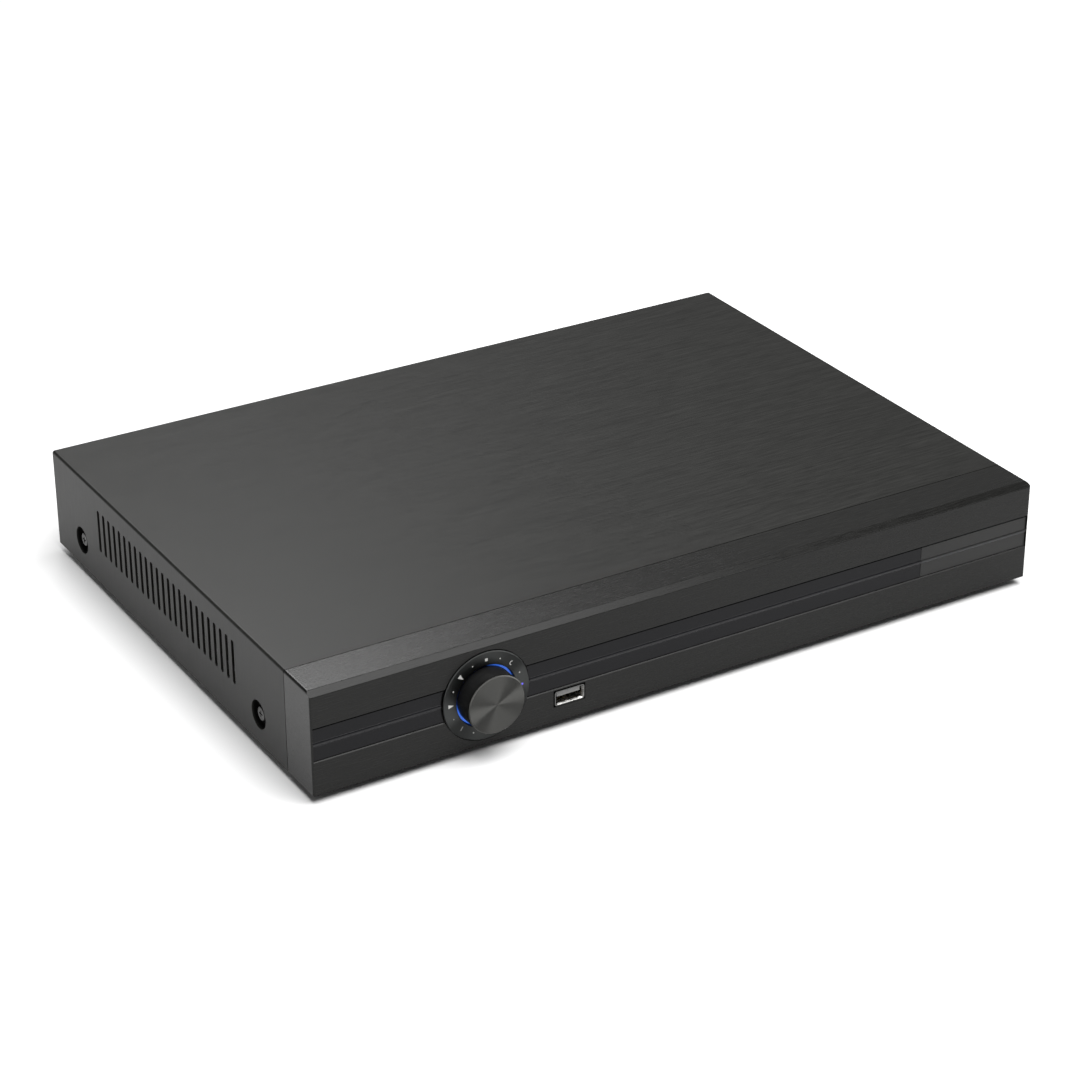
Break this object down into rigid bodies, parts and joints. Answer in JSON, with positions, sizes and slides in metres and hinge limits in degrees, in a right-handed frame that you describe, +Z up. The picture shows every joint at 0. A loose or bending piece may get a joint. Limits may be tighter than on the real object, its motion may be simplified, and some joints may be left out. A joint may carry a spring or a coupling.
{
  "type": "dvr recorder",
  "caption": "Low black desktop video recorder with a jog dial, a front data socket, side vents and rear video, sound, network and power sockets.",
  "frame": {"origin": "bottom centre of the whole recorder: on the surface that it stands on, midway between its sides and midway between the tip of the knob and the tips of the rear sockets", "axes": "+X to the right seen from the front, +Y from the front to the back, +Z up; the dial faces -Y"},
  "size_m": [0.356, 0.2722, 0.0504],
  "materials": {
    "black_hairline_cover": "black hairline-brushed steel under a satin lacquer",
    "black_hairline_bezel": "moulded plastic with a black hairline film, satin",
    "black_powder_coat": "fine black powder coat",
    "zinc_steel": "zinc-plated sheet, dull",
    "smoked_window": "smoked gloss acrylic",
    "spun_dial": "spun and black-anodised aluminium",
    "spun_knob_face": "spun aluminium, dark anodised",
    "knob_black": "black, smooth",
    "blue_light_guide": "translucent, lit blue",
    "plated_steel": "nickel-plated steel",
    "white_nylon": "natural nylon",
    "green_board": "green solder mask",
    "clear_lamp": "water-clear resin",
    "black_plastic": "moulded, fine texture",
    "nickel_shell": "bright nickel plate",
    "usb_tongue_plastic": "grey moulded plastic",
    "gold_contact": "gold-flashed contact",
    "blue_plastic": "moulded blue plastic",
    "chip_black": "epoxy package",
    "sink_aluminium": "plain extruded aluminium",
    "cast_aluminium": "die-cast aluminium",
    "mirror_disc": "polished disc",
    "grey_cable": "ribbon sheath",
    "red_cable": "soft sheath",
    "black_screw": "black oxide screw",
    "foot_rubber": "soft black rubber"
  },
  "bodies": {
    "root": {"base_chassis": "zinc_steel", "rear_panel": "black_powder_coat", "top_cover": "black_hairline_cover", "front_bezel": "black_hairline_bezel", "window_strip": "smoked_window", "strip_end": "smoked_window", "dial_ring": "spun_dial", "light_ring": "blue_light_guide", "encoder_body": "plated_steel", "press_switch": "plated_steel", "front_board": "green_board", "board_lamps": "clear_lamp", "ir_receiver": "black_plastic", "usb_shells": "nickel_shell", "usb_tongues": "usb_tongue_plastic", "usb_contacts": "gold_contact", "bnc_blocks": "black_plastic", "bnc_barrels": "nickel_shell", "bnc_insulators": "white_nylon", "bnc_contacts": "gold_contact", "audio_block": "black_plastic", "audio_collars": "nickel_shell", "vga_shell": "nickel_shell", "vga_insert": "blue_plastic", "vga_jackscrews": "nickel_shell", "hdmi_shell": "nickel_shell", "hdmi_tongue": "black_plastic", "lan_jack": "nickel_shell", "lan_contacts": "gold_contact", "power_jack": "black_plastic", "power_pin": "nickel_shell", "main_board": "green_board", "processor": "chip_black", "heat_sink": "sink_aluminium", "board_chips": "chip_black", "capacitors": "sink_aluminium", "coin_cell": "plated_steel", "cell_holder": "black_plastic", "board_sockets": "white_nylon", "flat_cable": "grey_cable", "disk_case": "cast_aluminium", "disk_lid": "sink_aluminium", "disk_board": "green_board", "disk_leads": "red_cable", "lead_plugs": "black_plastic", "fan_frame": "black_plastic", "fan_lead": "red_cable", "side_screws": "black_screw", "rear_screws": "black_screw", "under_screws": "plated_steel", "inner_screws": "plated_steel", "standoffs": "plated_steel", "rubber_feet": "foot_rubber"},
    "knob": {"knob_core": "knob_black", "knob_cap": "spun_knob_face", "encoder_shaft": "plated_steel"},
    "encoder_rotor": {"encoder_rotor": "white_nylon"},
    "fan_rotor": {"fan_rotor": "black_plastic"},
    "platter_stack": {"disk_platters": "mirror_disc"},
    "head_arm": {"head_arm": "sink_aluminium"}
  },
  "joints": [
    {"name": "knob_turn", "type": "hinge", "parent": "root", "child": "encoder_rotor", "pos_m": [-0.0994, -0.1136, 0.0265], "axis": [0, 1, 0], "continuous": true},
    {"name": "knob_press", "type": "slide", "parent": "encoder_rotor", "child": "knob", "axis": [0, 1, 0], "range_m": [0, 0.0006], "stiffness_N_per_m": 1500, "springref_m": -0.001},
    {"name": "fan_spin", "type": "hinge", "parent": "root", "child": "fan_rotor", "pos_m": [0.142, 0.1199, 0.02715], "axis": [0, 1, 0], "continuous": true},
    {"name": "disk_spin", "type": "hinge", "parent": "root", "child": "platter_stack", "pos_m": [-0.098, -0.0392, 0.024], "axis": [0, 0, 1], "continuous": true},
    {"name": "arm_swing", "type": "hinge", "parent": "root", "child": "head_arm", "pos_m": [-0.031, -0.068, 0.024], "axis": [0, 0, 1], "range_deg": [0, 30]}
  ]
}
